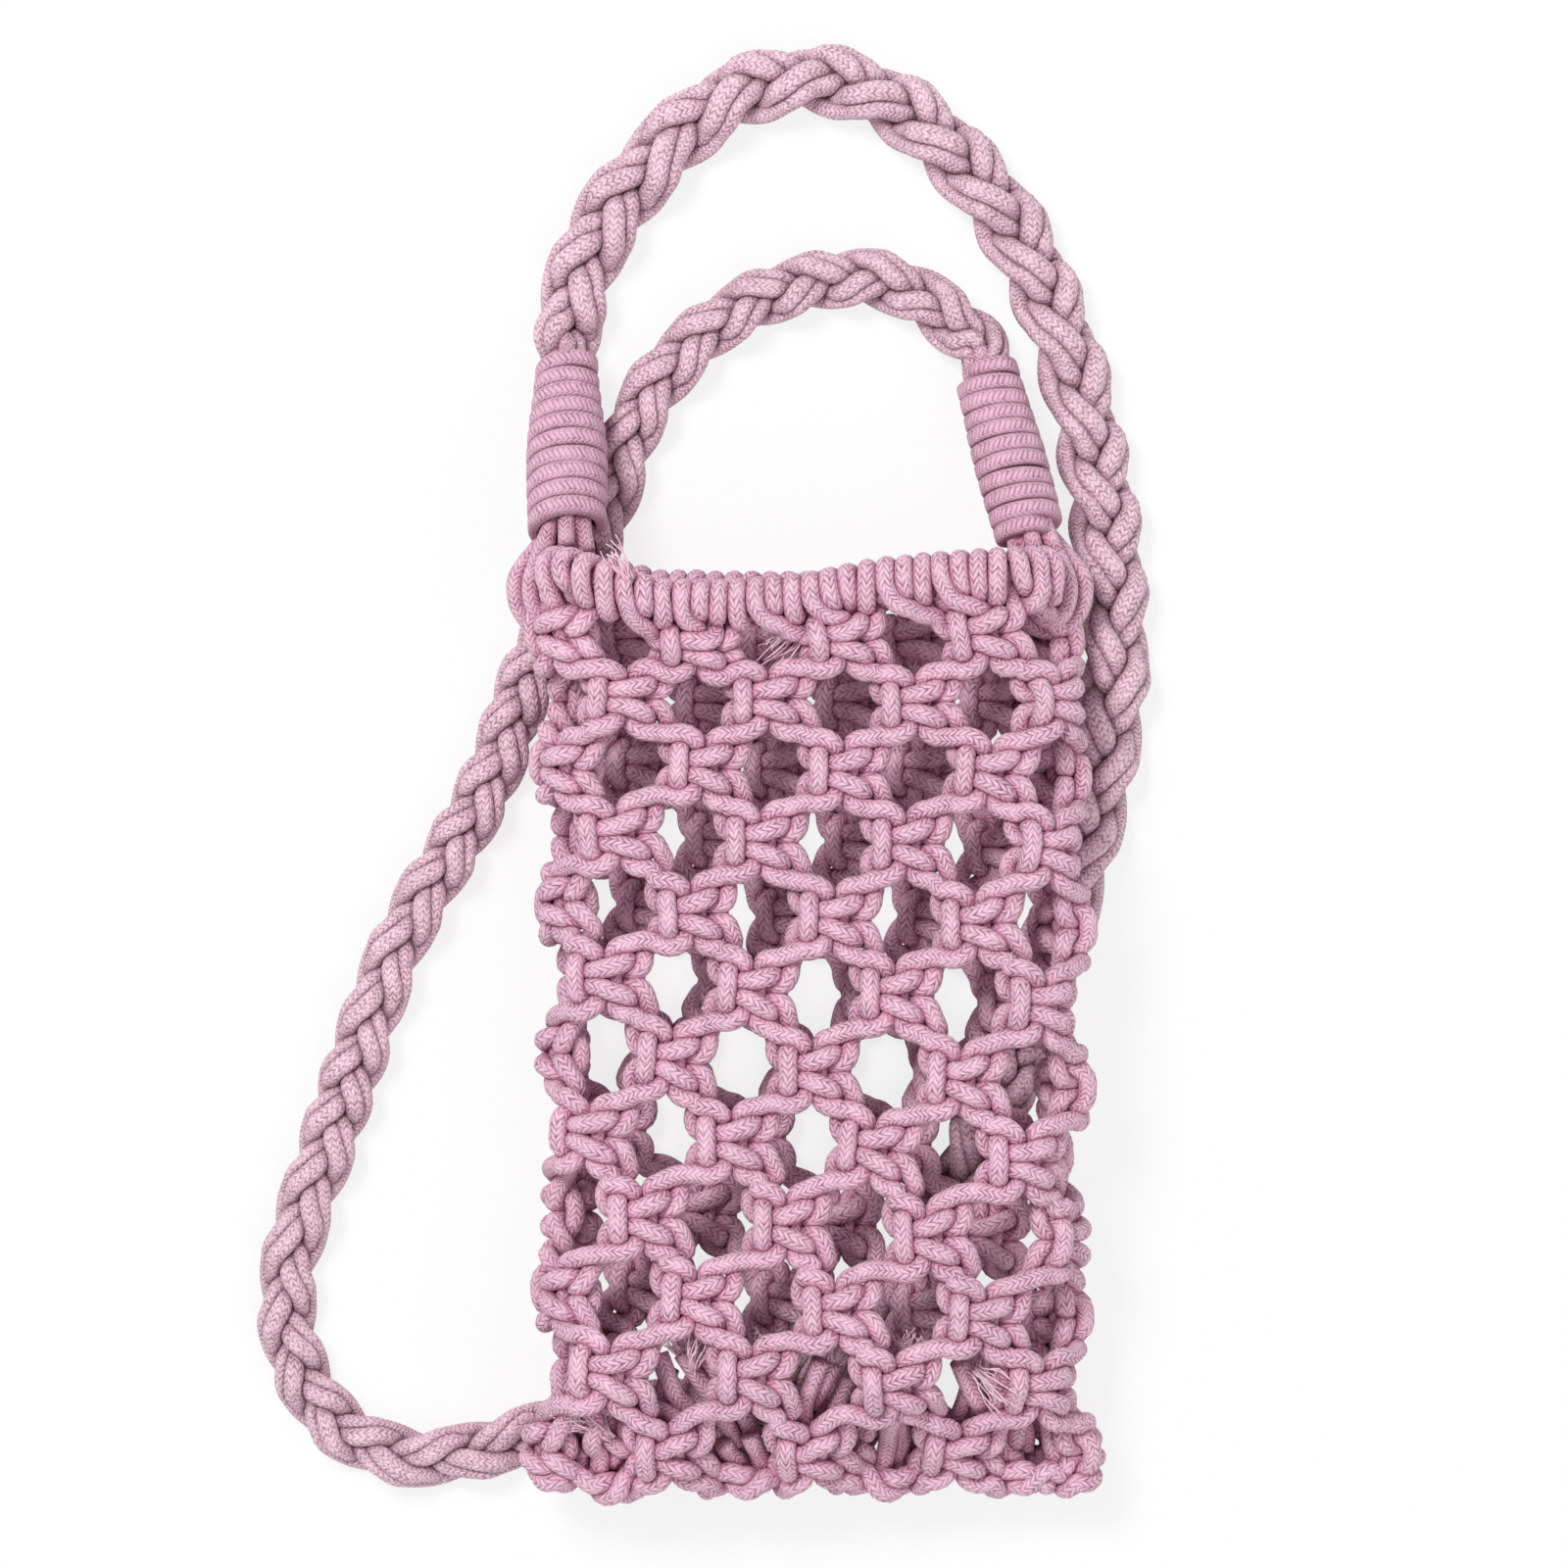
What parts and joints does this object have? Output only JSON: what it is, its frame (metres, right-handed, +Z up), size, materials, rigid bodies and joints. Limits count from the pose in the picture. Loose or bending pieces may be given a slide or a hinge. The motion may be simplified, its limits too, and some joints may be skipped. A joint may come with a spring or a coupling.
{
  "type": "crossbody phone bag",
  "caption": "Flat net pouch of knotted cotton cord with an open rim and a long braided crossbody strap hooked to the rim's two ends, laid out on its back.",
  "frame": {"origin": "middle of the bag's footprint, without the strap, on the surface that it lies on", "axes": "+Y along the pouch towards its mouth, +X across it, +Z up, away from the surface it lies on"},
  "size_m": [0.1822, 0.2939, 0.0444],
  "materials": {
    "net_cotton": "soft braided cotton cord, dusty pink",
    "strap_cotton": "soft plaited cotton cord, slightly greyer pink"
  },
  "bodies": {
    "pouch": {"net_cord_01": "net_cotton", "net_cord_02": "net_cotton", "net_cord_03": "net_cotton", "net_cord_04": "net_cotton", "net_cord_05": "net_cotton", "net_cord_06": "net_cotton", "net_cord_07": "net_cotton", "net_cord_08": "net_cotton", "net_cord_09": "net_cotton", "net_cord_10": "net_cotton", "net_cord_11": "net_cotton", "net_cord_12": "net_cotton", "net_cord_13": "net_cotton", "net_cord_14": "net_cotton", "net_cord_15": "net_cotton", "net_cord_16": "net_cotton", "rim_ring": "net_cotton", "base_tuft_1": "net_cotton", "base_tuft_2": "net_cotton", "base_tuft_3": "net_cotton", "base_tuft_4": "net_cotton", "base_tuft_5": "net_cotton", "strap_first_stretch": "strap_cotton", "strap_second_stretch": "strap_cotton"},
    "left_strap_end": {"left_winding": "net_cotton", "left_bundle": "strap_cotton", "left_inner_loop": "net_cotton", "left_outer_loop": "net_cotton"},
    "right_strap_end": {"right_winding": "net_cotton", "right_bundle": "strap_cotton", "right_inner_loop": "net_cotton", "right_outer_loop": "net_cotton"}
  },
  "joints": [
    {"name": "left_end_swing", "type": "hinge", "parent": "pouch", "child": "left_strap_end", "pos_m": [-0.05169, 0.06632, 0.0277], "axis": [0, 0, 1], "range_deg": [-4, 45], "deforming": ["strap_first_stretch", "strap_second_stretch"]},
    {"name": "right_end_swing", "type": "hinge", "parent": "pouch", "child": "right_strap_end", "pos_m": [0.05004, 0.06632, 0.01936], "axis": [0, 0, 1], "range_deg": [-45, 2], "deforming": ["strap_first_stretch", "strap_second_stretch"]}
  ]
}
